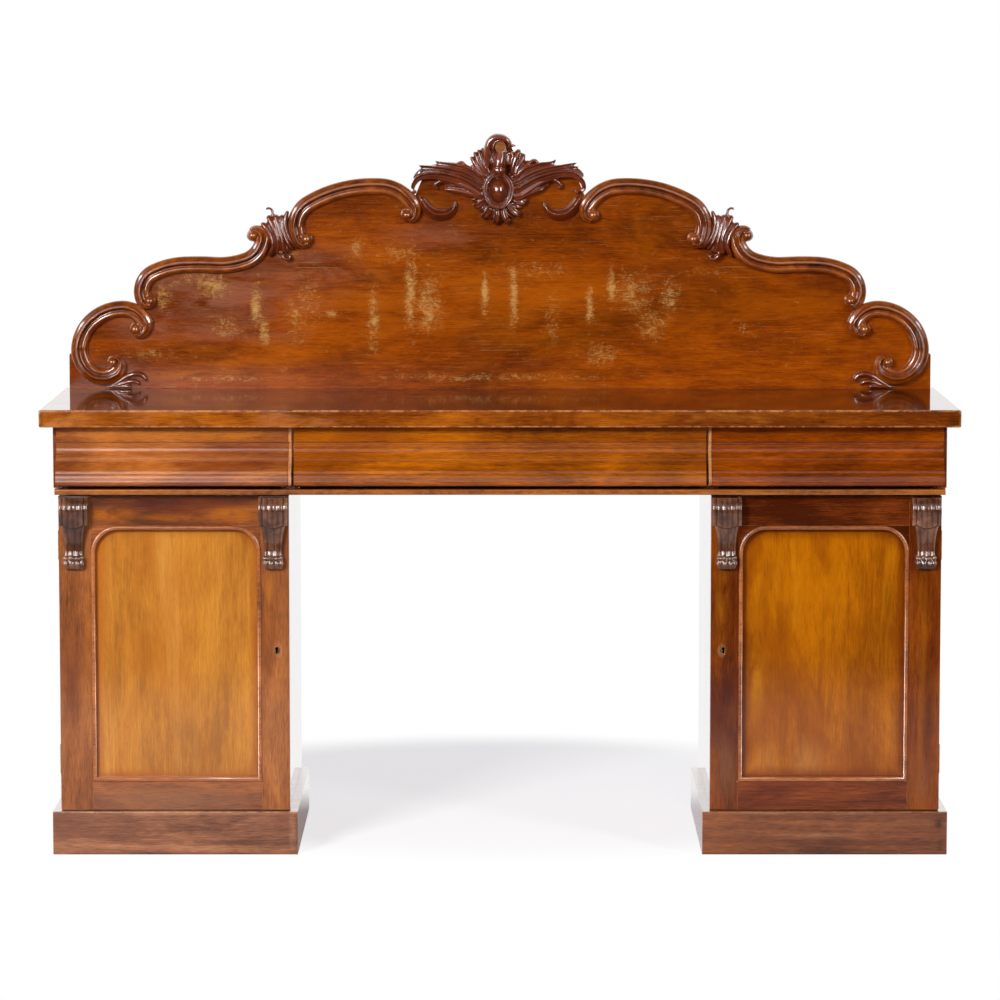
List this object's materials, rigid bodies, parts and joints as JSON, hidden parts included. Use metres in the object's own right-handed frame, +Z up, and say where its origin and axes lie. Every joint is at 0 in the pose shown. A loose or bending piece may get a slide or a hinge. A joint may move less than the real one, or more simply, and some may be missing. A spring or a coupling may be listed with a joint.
{
  "type": "sideboard",
  "caption": "Twin pedestal sideboard with moulded frieze drawers, arched panel doors on carved corbels and a scrolled, carved back board.",
  "frame": {"origin": "centre of the footprint, on the floor under the middle of the worktop", "axes": "+X to the right as seen from the front, +Y to the back, +Z up"},
  "size_m": [2, 0.6, 1.5653],
  "materials": {
    "show_wood": "polished",
    "veneer": "polished",
    "carved_wood": "polished",
    "worktop_wood": "polished",
    "inner_wood": "waxed",
    "brass": "aged"
  },
  "bodies": {
    "cabinet": {"worktop": "worktop_wood", "frieze_lip": "show_wood", "frieze_partitions": "show_wood", "frieze_end_left": "show_wood", "frieze_end_right": "show_wood", "pedestal_outer_side_left": "show_wood", "pedestal_outer_side_right": "show_wood", "pedestal_inner_side_left": "show_wood", "pedestal_inner_side_right": "show_wood", "plinth_left": "show_wood", "plinth_right": "show_wood", "backboard": "show_wood", "scroll_end_left": "carved_wood", "scroll_end_right": "carved_wood", "scroll_shoulder_left": "carved_wood", "scroll_shoulder_right": "carved_wood", "scroll_arch_left": "carved_wood", "scroll_arch_right": "carved_wood", "clasps": "carved_wood", "foot_leaves": "carved_wood", "crest_cartouche": "carved_wood", "crest_wing_left": "carved_wood", "crest_wing_right": "carved_wood", "crest_crescents": "carved_wood", "frieze_back": "inner_wood", "frieze_floor": "inner_wood", "shelves": "inner_wood", "shelf_bearers": "inner_wood", "backboard_dowels": "inner_wood", "pedestal_back_left": "inner_wood", "pedestal_back_right": "inner_wood", "pedestal_boards_left": "inner_wood", "pedestal_boards_right": "inner_wood", "hinge_pins": "brass", "keepers": "brass"},
    "door_left": {"door_stiles_left": "show_wood", "door_rails_left": "show_wood", "door_panel_left": "veneer", "door_bead_left": "show_wood", "corbels_left": "carved_wood", "hinge_leaves_left": "brass", "lock_left": "brass"},
    "bolt_left": {"lock_bolt_left": "brass"},
    "door_right": {"door_stiles_right": "show_wood", "door_rails_right": "show_wood", "door_panel_right": "veneer", "door_bead_right": "show_wood", "corbels_right": "carved_wood", "hinge_leaves_right": "brass", "lock_right": "brass"},
    "bolt_right": {"lock_bolt_right": "brass"},
    "drawer_left": {"drawer_left_front": "veneer", "drawer_left_box": "inner_wood", "drawer_left_bottom": "inner_wood"},
    "drawer_centre": {"drawer_centre_front": "veneer", "drawer_centre_box": "inner_wood", "drawer_centre_bottom": "inner_wood"},
    "drawer_right": {"drawer_right_front": "veneer", "drawer_right_box": "inner_wood", "drawer_right_bottom": "inner_wood"}
  },
  "joints": [
    {"name": "door_left_swing", "type": "hinge", "parent": "cabinet", "child": "door_left", "pos_m": [-0.963, -0.23975, 0.44275], "axis": [0, 0, -1], "range_deg": [0, 165]},
    {"name": "bolt_left_throw", "type": "slide", "parent": "door_left", "child": "bolt_left", "axis": [1, 0, 0], "range_m": [0, 0.009]},
    {"name": "door_right_swing", "type": "hinge", "parent": "cabinet", "child": "door_right", "pos_m": [0.963, -0.23975, 0.44275], "axis": [0, 0, 1], "range_deg": [0, 165]},
    {"name": "bolt_right_throw", "type": "slide", "parent": "door_right", "child": "bolt_right", "axis": [-1, 0, 0], "range_m": [0, 0.009]},
    {"name": "drawer_left_slide", "type": "slide", "parent": "cabinet", "child": "drawer_left", "axis": [0, -1, 0], "range_m": [0, 0.42]},
    {"name": "drawer_centre_slide", "type": "slide", "parent": "cabinet", "child": "drawer_centre", "axis": [0, -1, 0], "range_m": [0, 0.42]},
    {"name": "drawer_right_slide", "type": "slide", "parent": "cabinet", "child": "drawer_right", "axis": [0, -1, 0], "range_m": [0, 0.42]}
  ]
}
